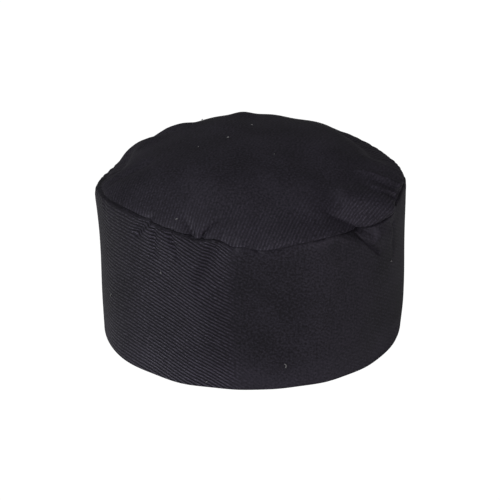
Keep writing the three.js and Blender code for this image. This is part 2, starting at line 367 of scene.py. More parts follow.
class CapFinish(bpy.types.PropertyGroup):
    """Colours and weave"""

    rib: FloatVectorProperty(
        name="Rib", description="Face of the twill's ribs", subtype="COLOR",
        default=linear("#38343f"))
    valley: FloatVectorProperty(
        name="Valley", description="Between the twill's ribs", subtype="COLOR",
        default=linear("#070707"))
    gloss: FloatVectorProperty(
        name="Gloss", description="Tint of the light that the cloth throws back", subtype="COLOR",
        default=linear("#f1e8ff"))
    thread: FloatVectorProperty(
        name="Thread", description="Black sewing thread", subtype="COLOR",
        default=linear("#26252a"))
    lint: FloatVectorProperty(
        name="Lint", description="Stray pale fibres", subtype="COLOR", default=linear("#c9c6c8"))
    rib_spacing: FloatProperty(
        name="Rib spacing", description="From one rib to the next, coarser than real so it shows",
        default=2.05 * MM, unit="LENGTH")
    relief: FloatProperty(
        name="Relief", description="Height of the ribs", default=0.45 * MM, unit="LENGTH")
    yarn: FloatProperty(
        name="Yarn", description="Size of the yarn's unevenness, coarser than real so it shows",
        default=1.4 * MM, unit="LENGTH")
    nap: FloatProperty(
        name="Nap", description="Size of the patches in the cloth's nap", default=28 * MM,
        unit="LENGTH")


class CapStudio(bpy.types.PropertyGroup):
    """Camera and light"""

    elevation: FloatProperty(
        name="Elevation", description="Camera's angle above the floor",
        default=math.radians(23.0), subtype="ANGLE")
    distance: FloatProperty(
        name="Distance", description="From the camera to the cap", default=1.5, unit="LENGTH")
    pixel: FloatProperty(
        name="Pixel", description="Size at the cap of one pixel of the picture",
        default=0.6172 * MM, unit="LENGTH")
    key: FloatProperty(
        name="Key", description="Power of the soft light at the left front", default=6.5,
        unit="POWER")
    fill: FloatProperty(
        name="Fill", description="Power of the soft light at the right front", default=3.6,
        unit="POWER")
    top: FloatProperty(
        name="Top", description="Power of the soft light overhead", default=0.75, unit="POWER")
    floor: FloatVectorProperty(
        name="Floor", description="Plain white floor", subtype="COLOR",
        default=linear("#f4f4f4"))


def around(column, azimuths):
    """A column of the sections at any azimuths, on a smooth curve that closes on itself."""
    angles = np.array([row.azimuth for row in SECTIONS], float)
    values = np.array([getattr(row, column) for row in SECTIONS], float)
    xs = np.concatenate([angles[-2:] - FULL_TURN, angles, angles[:2] + FULL_TURN])
    ys = np.concatenate([values[-2:], values, values[:2]])
    turned = (np.asarray(azimuths, float) - angles[0]) % FULL_TURN + angles[0]
    return through(xs, ys, turned)


def through(xs, ys, at):
    """Smooth curve through points; the first and last only set how it enters and leaves."""
    last = len(xs) - 3
    i = np.clip(np.searchsorted(xs, at, side="right") - 1, 1, last)
    span = xs[i + 1] - xs[i]
    t = (at - xs[i]) / span
    slope_in = (ys[i + 1] - ys[i - 1]) / (xs[i + 1] - xs[i - 1])
    slope_out = (ys[i + 2] - ys[i]) / (xs[i + 2] - xs[i])
    bend = slope_in * (1 - t) - slope_out * t
    return ys[i] + (ys[i + 1] - ys[i]) * t * t * (3 - 2 * t) + span * t * (1 - t) * bend


def eased(value, low, high):
    """0 below low, 1 above high, and smooth between."""
    t = np.clip((value - low) / (high - low), 0, 1)
    return t * t * (3 - 2 * t)


def turned_from(azimuths, middle):
    """How far azimuths lie from a middle one, the short way round."""
    return (azimuths - middle + FULL_TURN / 2) % FULL_TURN - FULL_TURN / 2


def nicked(azimuths):
    """How far the nicks raise the crown seam."""
    total = 0 * azimuths
    for nick in NICKS:
        away = np.radians(turned_from(azimuths, nick.azimuth)) * HEM_RADIUS
        total = total + nick.height * np.exp(-((away / nick.width) ** 2))
    return total


def seam_height(azimuths):
    """Height of the crown seam."""
    return BAND_HEIGHT + around("height", azimuths) + nicked(azimuths)


def fold_depth(azimuths, along):
    """How deep the folds press in, measured on the cloth as if it lay flat."""
    total = np.zeros(np.broadcast_shapes(np.shape(azimuths), np.shape(along)))
    for fold in FOLDS:
        middle = (fold.start[0] + fold.end[0]) / 2
        ends = []
        for azimuth, distance in (fold.start, fold.end):
            arc = math.radians(azimuth - middle) * (HEM_RADIUS - max(distance, 0))
            ends.append(np.array([arc, distance], float))
        line = ends[1] - ends[0]
        turned = np.radians(turned_from(azimuths, middle))
        across = turned * (HEM_RADIUS - np.maximum(along, 0)) - ends[0][0]
        up = along - ends[0][1]
        share = np.clip((across * line[0] + up * line[1]) / (line @ line), 0, 1)
        distance = np.hypot(across - share * line[0], up - share * line[1])
        leftwards = (up * line[0] - across * line[1]) / np.hypot(*line)
        reach = fold.right + (fold.left - fold.right) * eased(leftwards, -FOLD_BLEND, FOLD_BLEND)
        depth = fold.depth * (fold.faint + (1 - fold.faint) * share)
        total += depth * np.exp(-((distance / reach) ** fold.crease))
    return total


def slackness(points, seed):
    """Seeded long waves through space, between about -1 and 1, at points in millimetres."""
    chance = random.Random(seed)
    total = 0
    for _ in range(WAVES):
        angle = chance.uniform(0, math.pi)
        way = np.array([math.cos(angle), math.sin(angle), chance.uniform(-SLACK_LEAN, SLACK_LEAN)])
        length = chance.uniform(*SLACK_LENGTHS)
        phase = chance.uniform(0, 2 * math.pi)
        total = total + np.sin(points @ way * (2 * math.pi / length) + phase)
    return total / math.sqrt(WAVES)


def gathers(azimuths, along, seed):
    """Seeded small gathers round the crown seam, that drift sideways away from it."""
    chance = random.Random(seed)
    total = 0
    for _ in range(WAVES):
        length = chance.uniform(*GATHER_LENGTHS)
        drift = chance.uniform(-GATHER_DRIFT, GATHER_DRIFT) / length
        phase = chance.uniform(0, 2 * math.pi)
        turns = round(HEM_GIRTH / length)
        total = total + np.sin(np.radians(azimuths) * turns + along * drift + phase)
    return total / math.sqrt(WAVES)


def unevenness(azimuths, along, points, sizes):
    """Small gathers along the crown seam and a soft slackness further off, in millimetres."""
    away = np.abs(along) / PUCKER_REACH
    hold = (PUCKER_START + away) * np.exp(1 - away) / (PUCKER_START + 1)
    pucker = sizes.pucker / MM * around("pucker", azimuths) * hold
    slack = sizes.slack / MM * eased(np.abs(along), 0, SLACK_REACH)
    gathered = pucker * gathers(azimuths, along, sizes.seed)
    return gathered + slack * slackness(points, sizes.seed + 1)


def band_radius(azimuths, height):
    """Distance of the band's face from the hem's middle, before folds. The levels' curve runs on past
    both ends, and the cloth then rolls in to the seam."""
    top = seam_height(azimuths)
    columns = np.array([around(name, azimuths) for name in LEVEL_COLUMNS])
    levels = np.array([-LEVELS[1], *LEVELS, 2 - LEVELS[2]])
    columns = np.stack([2 * columns[0] - columns[1], *columns, 2 * columns[3] - columns[2]])
    share = height / top
    swell = np.zeros(share.shape)
    for index in range(share.shape[-1]):
        swell[..., index] = through(levels, columns[:, index], share[..., index])
    tuck = around("shoulder", azimuths) - around("seam", azimuths)
    wide = np.clip(1 - (top - height) / CURL_HEIGHT, 0, 1) ** 2
    tight = np.clip(1 - (top - height) / TIGHT_CURL, 0, 1) ** 2
    share = TIGHT_SHARE * around("groove", azimuths)
    return HEM_RADIUS + swell - tuck * ((1 - share) * wide + share * tight)


def band_face(azimuths, height, sizes):
    """The same with the folds, the unevenness and the closing seam pressed in."""
    along = height - seam_height(azimuths)
    radius = band_radius(azimuths, height)
    points = placed(azimuths, radius, height) / MM
    pressed = fold_depth(azimuths, along) + unevenness(azimuths, along, points, sizes)
    off_seam = np.abs(np.radians(turned_from(azimuths, FULL_TURN / 2))) * HEM_RADIUS
    pressed = pressed + CLOSING_SEAM_DEPTH * np.exp(-off_seam / CLOSING_SEAM_WIDTH)
    return radius - pressed + CLOSING_SEAM_SWELL * np.exp(-((off_seam / TURNED_EDGE) ** 4))


def seam_level(azimuths, sizes):
    """Where on the band's face the seam is taken from: its top, or lower where it's pressed flat."""
    bend = sizes.cloth / MM + SEAM_TOUCH
    return (seam_height(azimuths) - (1 - around("groove", azimuths)) * bend)[None]


def seam_ring(azimuths, sizes):
    """Radius and height of the crown seam, and the bend that the band's cloth makes there."""
    radius = band_face(azimuths, seam_level(azimuths, sizes), sizes)[0]
    return radius, seam_height(azimuths), sizes.cloth / MM + SEAM_TOUCH


def turning(azimuths, down, sizes):
    """Radius of the band's turning, which hangs inside the wall, at distances below the seam."""
    radius, top, bend = seam_ring(azimuths, sizes)
    wall = band_face(azimuths, top - down, sizes)
    return np.minimum(wall, radius - TURNING_LEAN * down) - 2 * bend


def band_profile(azimuths, sizes):
    """Rows of the band's face side, as radius and height: up the seam's turning inside, over the
    bend, down the wall, round the hem's fold, and up inside to the hem's edge."""
    seam, top, bend = seam_ring(azimuths, sizes)
    hem = sizes.cloth / MM * HEM_BEND + SEAM_TOUCH
    down = np.linspace(sizes.turning / MM, 2 * bend, TURNING_ROWS)[:, None]
    rows = [(turning(azimuths, down, sizes), top - down)]
    angle = np.linspace(math.pi, 0, BEND_ROWS + 2)[1:-1, None]
    rows.append((seam - bend + bend * np.cos(angle), top - bend + bend * np.sin(angle)))
    share = 1 - (np.arange(WALL_ROWS + 1) / WALL_ROWS) ** WALL_SPREAD
    wall_z = hem + (top - bend - hem) * share[:, None]
    rows.append((band_face(azimuths, wall_z, sizes), wall_z))
    angle = np.linspace(0, math.pi, BEND_ROWS + 2)[1:-1, None]
    foot = rows[-1][0][-1]
    rows.append((foot - hem + hem * np.cos(angle), hem - hem * np.sin(angle)))
    hem_z = np.linspace(hem, sizes.hem_height / MM, HEM_ROWS)[:, None] + 0 * top
    rows.append((band_face(azimuths, hem_z, sizes) - 2 * hem, hem_z))
    return joined(rows)


def joined(rows):
    """Blocks of radius and height, one after another."""
    radius = np.concatenate([block[0] for block in rows])
    height = np.concatenate([block[1] + 0 * block[0] for block in rows])
    return radius, height


def crown_start(azimuths):
    """How far round the band's bend the crown top leaves it: on top, or outside where the groove is
    shallow."""
    return math.pi / 2 - math.radians(SHALLOW_SEAM_TURN) * (1 - around("groove", azimuths))


def crown_edge(azimuths, sizes):
    """Radius of the crown top's edge before folds."""
    bend = sizes.cloth / MM + SEAM_TOUCH
    radius = band_radius(azimuths, seam_level(azimuths, sizes))[0]
    return radius - bend + (bend + SEAM_TOUCH) * np.cos(crown_start(azimuths))


def crown_under(azimuths, share, sizes):
    """Radius and height of the dome's underside, from its middle at share 0 to the seam at 1."""
    bend = sizes.cloth / MM + SEAM_TOUCH
    edge = crown_edge(azimuths, sizes)
    along = edge * (1 - share)
    reach = along / LIP_REACH
    radius = edge * share + around("lip", azimuths) * reach * np.exp(1 - reach)
    nicks = nicked(azimuths)
    foot = seam_height(azimuths) - nicks - bend + (bend + SEAM_TOUCH) * np.sin(crown_start(azimuths))
    height = DOME_FOOT + (foot - DOME_FOOT) * share ** 2
    height = height + nicks * np.exp(-along / NICK_REACH)
    height = height + DOME_RISE * (1 - share ** DOME_FULLNESS) ** DOME_ROUNDNESS
    tilt = math.radians(FOLD_TILT) * eased(along, 0, FOLD_TURN)
    points = placed(azimuths, radius, height) / MM
    pressed = fold_depth(azimuths, along) + unevenness(azimuths, along, points, sizes)
    pressed = pressed * eased(share, 0, CROWN_CALM)
    return radius - pressed * np.cos(tilt), height - pressed * np.sin(tilt)


def crown_profile(azimuths, sizes):
    """Rows of the crown top in three blocks: the dome's underside out from the middle to the seam,
    then the cloth's face round the band's bend, and down its own turning inside."""
    seam, top, bend = seam_ring(azimuths, sizes)
    share = (np.arange(1, DOME_ROWS + 1) / DOME_ROWS)[:, None]
    dome = crown_under(azimuths, 1 - (1 - share) ** DOME_SPREAD, sizes)
    start = crown_start(azimuths)
    angle = start + (math.pi - start) * np.linspace(0, 1, BEND_ROWS)[1:, None]
    reach = bend + SEAM_TOUCH
    over = seam - bend + reach * np.cos(angle), top - bend + reach * np.sin(angle)
    down = np.linspace(2 * bend, sizes.turning / MM - CROWN_TRIM, TURNING_ROWS)[:, None]
    return dome, over, (turning(azimuths, down, sizes) - SEAM_TOUCH, top - down)


def cloth_spot(azimuth, along, sizes):
    """A place on the cloth's face and the way it faces there, off it by a fibre's thickness."""
    off = sizes.lint
    nearby = azimuth + SPOT_STEP * np.array([-1.0, 1.0, 0.0, 0.0])
    further = along + SPOT_STEP * np.array([0.0, 0.0, -1.0, 1.0])
    if along < 0:
        height = seam_height(nearby) + further
        radius = band_face(nearby, height[None], sizes)[0]
    else:
        share = 1 - further / crown_edge(nearby, sizes)
        radius, height = (rows[0] for rows in crown_under(nearby, share[None], sizes))
        off = off + sizes.cloth
    corners = placed(nearby, radius, height)
    facing = Vector(corners[1] - corners[0]).cross(Vector(corners[3] - corners[2])).normalized()
    return Vector(corners.mean(0)) + facing * off, facing


def backed(radius, height, cloth):
    """The rows of the cloth's back, its thickness away from the face."""
    across = np.gradient(radius, axis=0)
    up = np.gradient(height, axis=0)
    length = np.hypot(across, up)
    return radius + cloth * up / length, height - cloth * across / length


def placed(azimuths, radius, height):
    """Points in metres from radius and height."""
    angle = np.radians(azimuths)
    across = HEM_OFFSET + radius * np.sin(angle)
    deep = -radius * np.cos(angle)
    return np.stack([across, deep, height + 0 * across], -1) * MM


# The last field is painted light and shade that the twill adds to its colour
Ring = namedtuple("Ring", "points uv ribs rubbed")


def skinned(name, rings, closed):
    """A mesh over rings of points, each with as many points as the next, or twice or half as
    many. A ring of one point closes an end. The UV map is in metres of flat cloth."""
    starts = np.cumsum([0] + [len(ring.points) for ring in rings])
    faces = []
    corners = []
    pairs = [(i, i + 1) for i in range(len(rings) - 1)]
    if closed:
        pairs.append((len(rings) - 1, 0))
    for one, two in pairs:
        counts = len(rings[one].points), len(rings[two].points)
        steps = min(counts) if min(counts) > 1 else max(counts)
        for step in range(steps):
            face = side_of(two, counts[1], step, steps)
            face += reversed(side_of(one, counts[0], step, steps))
            faces.append([int(starts[ring] + index % max(size, 1)) for ring, index, size in face])
            corners.extend(rings[ring].uv[index] for ring, index, size in face)
    mesh = bpy.data.meshes.new(name)
    mesh.from_pydata(np.concatenate([ring.points for ring in rings]).tolist(), [], faces)
    mesh.uv_layers.new(name="cloth")
    mesh.uv_layers["cloth"].data.foreach_set("uv", np.array(corners, np.float32).ravel())
    # The second attribute is painted light and shade for the twill's colour
    for label in ("ribs", "rubbed"):
        values = [getattr(ring, label) + 0 * ring.points[:, 0] for ring in rings]
        note(mesh, label, "FLOAT", "value", np.concatenate(values))
    mesh.polygons.foreach_set("use_smooth", [True] * len(mesh.polygons))
    mesh.update()
    return mesh


def note(mesh, label, kind, key, values):
    """Keeps values with a mesh's points, for its material or its node tree."""
    mesh.attributes.new(label, kind, "POINT")
    mesh.attributes[label].data.foreach_set(key, np.ravel(values).astype(np.float32))


def side_of(ring, size, step, steps):
    """A face's corners on one ring: one at a closed end, two, or three where it has twice as many."""
    if size == 1:
        return [(ring, 0, 1)]
    every = size // steps
    return [(ring, step * every + k, size) for k in range(every + 1)]


def shown(name, mesh, material):
    """An object of the mesh in the scene, with its material."""
    piece = bpy.data.objects.new(name, mesh)
    bpy.context.scene.collection.objects.link(piece)
    mesh.materials.clear()
    mesh.materials.append(material)
    return piece


def ring_azimuths():
    """Azimuths of a ring's points, from the back seam round to it again, crowded at the front and
    at the back seam."""
    steps = RING_STEPS * COLUMNS
    middles = FULL_TURN * (np.arange(steps) + 0.5) / steps
    from_back = np.minimum(middles, FULL_TURN - middles)
    crowd = 1 - FRONT_CROWDING * np.cos(np.radians(middles))
    crowd = crowd + BACK_CROWDING * np.exp(-((from_back / BACK_SPAN) ** 2))
    passed = np.append(0, np.cumsum(crowd))
    wanted = passed[-1] * np.arange(COLUMNS) / COLUMNS
    return FULL_TURN / 2 + np.interp(wanted, passed, FULL_TURN * np.arange(steps + 1) / steps)


def band_mesh(sizes):
    """The side band as one strip of cloth with both its faces."""
    azimuths = ring_azimuths()
    face = band_profile(azimuths, sizes)
    back = backed(*face, sizes.cloth / MM)
    flat = (np.append(azimuths, azimuths[0] + FULL_TURN) - FULL_TURN) / FULL_TURN * HEM_GIRTH * MM
    run = np.hypot(np.diff(face[0], axis=0), np.diff(face[1], axis=0)).mean(1)
    run = np.concatenate([[0], np.cumsum(run)]) * MM
    ribs = around("ribs", azimuths) * eased(seam_height(azimuths) - face[1], *BAND_RIB_START)
    weave = around("grain", azimuths) + face[1] - face[1].mean(1, keepdims=True)
    weave = np.append(weave, weave[:, :1], axis=1) * MM - run[:, None]
    # Painted light and shade in the band's colour: lighter towards the hem, as light from below would
    # make it, and lighter or darker with the ribs column
    rubbed = HEM_PAINTED_LIGHT * (1 - eased(face[1], 0, HEM_PAINTED_LIGHT_HEIGHT)) + RIB_PAINTED_SHADING * (ribs - 1)
    rings = []
    for row, (radius, height) in enumerate(zip(*face)):
        uv = np.stack([flat, weave[row]], -1)
        rings.append(Ring(placed(azimuths, radius, height), uv, ribs[row], rubbed[row]))
    for row in reversed([0, *range(1, len(run) - 1, 2), len(run) - 1]):
        points = placed(azimuths, back[0][row], back[1][row])
        rings.append(Ring(points, np.stack([flat, weave[row]], -1), PLAIN_RIBS, 0.0))
    return skinned("side_band_cloth", rings, closed=True)


def crown_mesh(sizes):
    """The crown top as one disc of cloth with both its faces. The face's edge is kept from dipping
    under the seam."""
    azimuths = ring_azimuths()
    cloth = sizes.cloth / MM
    dome, over, turned = crown_profile(azimuths, sizes)
    outer = backed(*dome, -cloth)
    face = joined([(outer[0], np.maximum(outer[1], dome[1][-1])), over, turned])
    top = DOME_FOOT + DOME_RISE
    steps = np.diff(face[0], axis=0, prepend=0), np.diff(face[1], axis=0, prepend=top + cloth)
    run = np.cumsum(np.hypot(*steps), axis=0)
    sides = eased(np.abs(np.cos(np.radians(azimuths))), 0, CROWN_RIB_SIDES)
    ribs = PLAIN_RIBS + (CROWN_RIBS - PLAIN_RIBS) * sides * eased(run, *CROWN_RIB_RUN)
    rings = [pole(top + cloth)]
    rings += [crown_ring(azimuths, face, run, row, ribs[row]) for row in range(len(run))]
    inner = slice(0, DOME_ROWS - LIP_ROWS, 2)
    back = joined([(dome[0][inner], dome[1][inner]), backed(*turned, cloth)])
    run = np.concatenate([run[inner], run[-TURNING_ROWS:]])
    rings += [crown_ring(azimuths, back, run, row, PLAIN_RIBS) for row in reversed(range(len(run)))]
    rings.append(pole(top))
    return skinned("crown_top_cloth", rings, closed=False)


def pole(height):
    """The single point at the crown top's middle."""
    return Ring(placed(0, np.zeros(1), np.full(1, height)), np.zeros((1, 2)), PLAIN_RIBS, 0.0)


def crown_ring(azimuths, rows, run, row, ribs):
    """One ring of the crown top, with fewer points the nearer it is to the middle."""
    radius, height = rows[0][row], rows[1][row]
    every = 1
    while every < COLUMNS // COARSEST_RING and radius.mean() * every * 2 < HEM_RADIUS:
        every *= 2
    flat = run[row] * MM
    angle = np.radians(azimuths)
    uv = np.stack([flat * np.sin(angle), -flat * np.cos(angle)], -1)
    uv = np.concatenate([uv, uv[:1]])
    ribs = ribs + 0 * azimuths
    return Ring(placed(azimuths, radius, height)[::every], uv[::every], ribs[::every], 0.0)


def node(tree, kind, links=None, **settings):
    """Adds a shader or geometry node with its settings, and its inputs' values or links."""
    made = tree.nodes.new(kind)
    for key, value in settings.items():
        setattr(made, key, value)
    for key, value in (links or {}).items():
        if isinstance(value, bpy.types.NodeSocket):
            tree.links.new(value, made.inputs[key])
        else:
            made.inputs[key].default_value = value
    return made


def new_material(name):
    """A material, its node tree and its shader."""
    material = bpy.data.materials.new(name)
    material.use_nodes = True
    return material, material.node_tree, material.node_tree.nodes["Principled BSDF"]


def twill(name, finish, slant):
    """Black cotton twill, woven and lightly calendered: fine slanting ribs that catch raking light
    as broken bright lines, a dark matt ground, and a broad soft gloss along the fibres."""
    material, tree, shader = new_material(name)
    cloth = node(tree, "ShaderNodeUVMap", uv_map="cloth")
    plainness = node(tree, "ShaderNodeAttribute", attribute_name="ribs")
    # Painted light and shade, kept with the band's points
    rubbed = node(tree, "ShaderNodeAttribute", attribute_name="rubbed")
    turned = node(tree, "ShaderNodeMapping", {
        "Vector": cloth.outputs["UV"], "Rotation": (0, 0, math.radians(slant))})
    ribs = node(tree, "ShaderNodeTexWave", {
        "Vector": turned.outputs["Vector"], "Scale": WAVE_PERIOD / finish.rib_spacing,
        "Distortion": 1.1, "Detail": 1.5, "Detail Scale": 2.0, "Detail Roughness": 0.5,
    }, bands_direction="X")
    yarn = node(tree, "ShaderNodeTexNoise", {
        "Vector": cloth.outputs["UV"], "Scale": 1 / finish.yarn, "Detail": 2.0, "Roughness": 0.6})
    nap = node(tree, "ShaderNodeTexNoise", {
        "Vector": cloth.outputs["UV"], "Scale": 1 / finish.nap, "Detail": 3.0, "Roughness": 0.55})
    level = node(tree, "ShaderNodeMath", {
        0: ribs.outputs["Fac"], 1: RIB_LEVEL}, operation="SUBTRACT")
    broken = node(tree, "ShaderNodeMapRange", {
        "Value": yarn.outputs["Fac"], "From Min": YARN_RANGE[0], "From Max": YARN_RANGE[1],
        "To Min": BROKEN_RIBS[0], "To Max": BROKEN_RIBS[1]})
    seen = node(tree, "ShaderNodeMath", {
        0: broken.outputs["Result"], 1: plainness.outputs["Fac"]}, operation="MULTIPLY")
    rib = node(tree, "ShaderNodeMath", {
        0: level.outputs["Value"], 1: seen.outputs["Value"]}, operation="MULTIPLY")
    relief = node(tree, "ShaderNodeMath", {
        0: yarn.outputs["Fac"], 1: YARN_RELIEF, 2: rib.outputs["Value"]}, operation="MULTIPLY_ADD")
    bump = node(tree, "ShaderNodeBump", {
        "Height": relief.outputs["Value"], "Strength": 1.0, "Distance": finish.relief})
    tone = node(tree, "ShaderNodeMapRange", {
        "Value": rib.outputs["Value"], "From Min": -RIB_SWING, "From Max": RIB_SWING})
    shade = node(tree, "ShaderNodeMix", {
        "Factor": tone.outputs["Result"], MIX_A: (*finish.valley, 1), MIX_B: (*finish.rib, 1)},
        data_type="RGBA")
    mottle = node(tree, "ShaderNodeMath", {
        0: yarn.outputs["Fac"], 1: YARN_MOTTLE, 2: nap.outputs["Fac"]}, operation="MULTIPLY_ADD")
    uneven = node(tree, "ShaderNodeMapRange", {
        "Value": mottle.outputs["Value"], "From Min": MOTTLE_RANGE[0], "From Max": MOTTLE_RANGE[1],
        "To Min": MOTTLE_TONE[0], "To Max": MOTTLE_TONE[1]})
    # The painted light and shade is added to the random mottle, and both then lighten or darken the
    # twill's colour
    tone_with_painted_shading = node(tree, "ShaderNodeMath", {
        0: uneven.outputs["Result"], 1: rubbed.outputs["Fac"]}, operation="ADD")
    colour_with_painted_shading = node(tree, "ShaderNodeMix", {
        "Factor": 1.0, MIX_A: shade.outputs[MIX_OUT], MIX_B: tone_with_painted_shading.outputs["Value"]},
        data_type="RGBA", blend_type="MULTIPLY")
    rough = node(tree, "ShaderNodeMapRange", {
        "Value": rib.outputs["Value"], "From Min": -RIB_SWING, "From Max": RIB_SWING,
        "To Min": TWILL_ROUGHNESS[0], "To Max": TWILL_ROUGHNESS[1]})
    tree.links.new(colour_with_painted_shading.outputs[MIX_OUT], shader.inputs["Base Color"])
    tree.links.new(rough.outputs["Result"], shader.inputs["Roughness"])
    tree.links.new(bump.outputs["Normal"], shader.inputs["Normal"])
    shader.inputs["IOR"].default_value = 1.5
    shader.inputs["Specular IOR Level"].default_value = 0.5
    shader.inputs["Specular Tint"].default_value = (*finish.gloss, 1)
    return material


def thread_finish(finish):
    """Spun polyester sewing thread: two plies twisted together, with a faint silky light on each."""
    material, tree, shader = new_material("spun_polyester_thread")
    place = node(tree, "ShaderNodeTexCoord")
    plies = node(tree, "ShaderNodeTexWave", {
        "Vector": place.outputs["Object"], "Scale": WAVE_PERIOD / (PLY_LENGTH * MM),
        "Distortion": 2.0, "Detail": 1.0}, bands_direction="DIAGONAL")
    shade = node(tree, "ShaderNodeMix", {
        "Factor": plies.outputs["Fac"], MIX_A: (*finish.valley, 1), MIX_B: (*finish.thread, 1)},
        data_type="RGBA")
    bump = node(tree, "ShaderNodeBump", {
        "Height": plies.outputs["Fac"], "Strength": 0.6, "Distance": PLY_DEPTH * MM})
    tree.links.new(shade.outputs[MIX_OUT], shader.inputs["Base Color"])
    tree.links.new(bump.outputs["Normal"], shader.inputs["Normal"])
    shader.inputs["Roughness"].default_value = 0.55
    shader.inputs["Sheen Weight"].default_value = 0.1
    return material


def lint_finish(finish):
    """Cotton lint, shed by other cloth: pale matt fibres with a faint sheen, darker where the
    clump is thin."""
    material, tree, shader = new_material("pale_cotton_lint")
    place = node(tree, "ShaderNodeTexCoord")
    clumps = node(tree, "ShaderNodeTexNoise", {
        "Vector": place.outputs["Object"], "Scale": 1 / (LINT_CLUMP * MM), "Detail": 1.0})
    shade = node(tree, "ShaderNodeMix", {
        "Factor": clumps.outputs["Fac"], MIX_A: (*finish.thread, 1), MIX_B: (*finish.lint, 1)},
        data_type="RGBA")
    tree.links.new(shade.outputs[MIX_OUT], shader.inputs["Base Color"])
    shader.inputs["Roughness"].default_value = 0.9
    shader.inputs["Sheen Weight"].default_value = 0.3
    return material


def new_tree(name, inputs, output):
    """A geometry node tree with its named inputs and output, and the node that gives the inputs."""
    tree = bpy.data.node_groups.new(name, "GeometryNodeTree")
    for label, kind in inputs.items():
        tree.interface.new_socket(label, in_out="INPUT", socket_type="NodeSocket" + kind)
    tree.interface.new_socket(output, in_out="OUTPUT", socket_type="NodeSocketGeometry")
    return tree, node(tree, "NodeGroupInput")


def stitch_tree(name, strokes):
    """Geometry nodes that sew stitches along a line: strokes are straight runs of thread, in shares
    of a stitch's length along the line, of its height up the cloth and of the thread's thickness
    off it."""
    tree, given = new_tree(name, {
        "Line": "Geometry", "Length": "Float", "Height": "Float", "Thickness": "Float",
        "Thread": "Material"}, "Stitches")
    line = node(tree, "GeometryNodeMeshToCurve", {"Mesh": given.outputs["Line"]})
    spaced = node(tree, "GeometryNodeResampleCurve", {
        "Curve": line.outputs["Curve"], "Length": given.outputs["Length"]}, mode="LENGTH")
    unit = node(tree, "ShaderNodeCombineXYZ", {
        "X": given.outputs["Length"], "Y": given.outputs["Thickness"], "Z": given.outputs["Height"]})
    radius = node(tree, "ShaderNodeMath", {0: given.outputs["Thickness"], 1: 0.5}, operation="MULTIPLY")
    profile = node(tree, "GeometryNodeCurvePrimitiveCircle", {
        "Resolution": THREAD_SIDES, "Radius": radius.outputs["Value"]})
    stitch = node(tree, "GeometryNodeJoinGeometry")
    for start, end in strokes:
        ends = [node(tree, "ShaderNodeVectorMath", {0: unit.outputs["Vector"], 1: place},
                     operation="MULTIPLY") for place in (start, end)]
        run = node(tree, "GeometryNodeCurvePrimitiveLine", {
            "Start": ends[0].outputs["Vector"], "End": ends[1].outputs["Vector"]})
        tube = node(tree, "GeometryNodeCurveToMesh", {
            "Curve": run.outputs["Curve"], "Profile Curve": profile.outputs["Curve"],
            "Fill Caps": True})
        tree.links.new(tube.outputs["Mesh"], stitch.inputs["Geometry"])
    tangent = node(tree, "GeometryNodeInputTangent")
    onward = node(tree, "FunctionNodeAlignRotationToVector", {
        "Vector": tangent.outputs["Tangent"]}, axis="X")
    upright = node(tree, "FunctionNodeAlignRotationToVector", {
        "Rotation": onward.outputs["Rotation"], "Vector": (0, 0, 1)}, axis="Z", pivot_axis="X")
    sewn = node(tree, "GeometryNodeInstanceOnPoints", {
        "Points": spaced.outputs["Curve"], "Instance": stitch.outputs["Geometry"],
        "Rotation": upright.outputs["Rotation"]})
    real = node(tree, "GeometryNodeRealizeInstances", {"Geometry": sewn.outputs["Instances"]})
    finish = node(tree, "GeometryNodeSetMaterial", {
        "Geometry": real.outputs["Geometry"], "Material": given.outputs["Thread"]})
    node(tree, "NodeGroupOutput", {"Stitches": finish.outputs["Geometry"]})
    return tree


def lint_tree():
    """Geometry nodes that lay a small curled fibre on each point, turned as its attributes say."""
    tree, given = new_tree("lint_fibres", {
        "Places": "Geometry", "Thickness": "Float", "Fibre": "Material"}, "Lint")
    start, start_handle, end_handle, end = FIBRE_CURL
    curl = node(tree, "GeometryNodeCurvePrimitiveBezierSegment", {
        "Resolution": FIBRE_STEPS, "Start": start, "Start Handle": start_handle,
        "End Handle": end_handle, "End": end})
    size = node(tree, "GeometryNodeInputNamedAttribute", {"Name": "length"}, data_type="FLOAT")
    facing = node(tree, "GeometryNodeInputNamedAttribute", {"Name": "facing"}, data_type="FLOAT_VECTOR")
    turned = node(tree, "GeometryNodeInputNamedAttribute", {"Name": "turned"}, data_type="FLOAT")
    off = node(tree, "FunctionNodeAlignRotationToVector", {
        "Vector": facing.outputs["Attribute"]}, axis="Z")
    spin = node(tree, "FunctionNodeAxisAngleToRotation", {
        "Axis": (0, 0, 1), "Angle": turned.outputs["Attribute"]})
    both = node(tree, "FunctionNodeRotateRotation", {
        "Rotation": off.outputs["Rotation"], "Rotate By": spin.outputs["Rotation"]},
        rotation_space="LOCAL")
    laid = node(tree, "GeometryNodeInstanceOnPoints", {
        "Points": given.outputs["Places"], "Instance": curl.outputs["Curve"],
        "Rotation": both.outputs["Rotation"], "Scale": size.outputs["Attribute"]})
    real = node(tree, "GeometryNodeRealizeInstances", {"Geometry": laid.outputs["Instances"]})
    profile = node(tree, "GeometryNodeCurvePrimitiveCircle", {
        "Resolution": FIBRE_SIDES, "Radius": given.outputs["Thickness"]})
    tube = node(tree, "GeometryNodeCurveToMesh", {
        "Curve": real.outputs["Geometry"], "Profile Curve": profile.outputs["Curve"],
        "Fill Caps": True})
    finish = node(tree, "GeometryNodeSetMaterial", {
        "Geometry": tube.outputs["Mesh"], "Material": given.outputs["Fibre"]})
    node(tree, "NodeGroupOutput", {"Lint": finish.outputs["Geometry"]})
    return tree


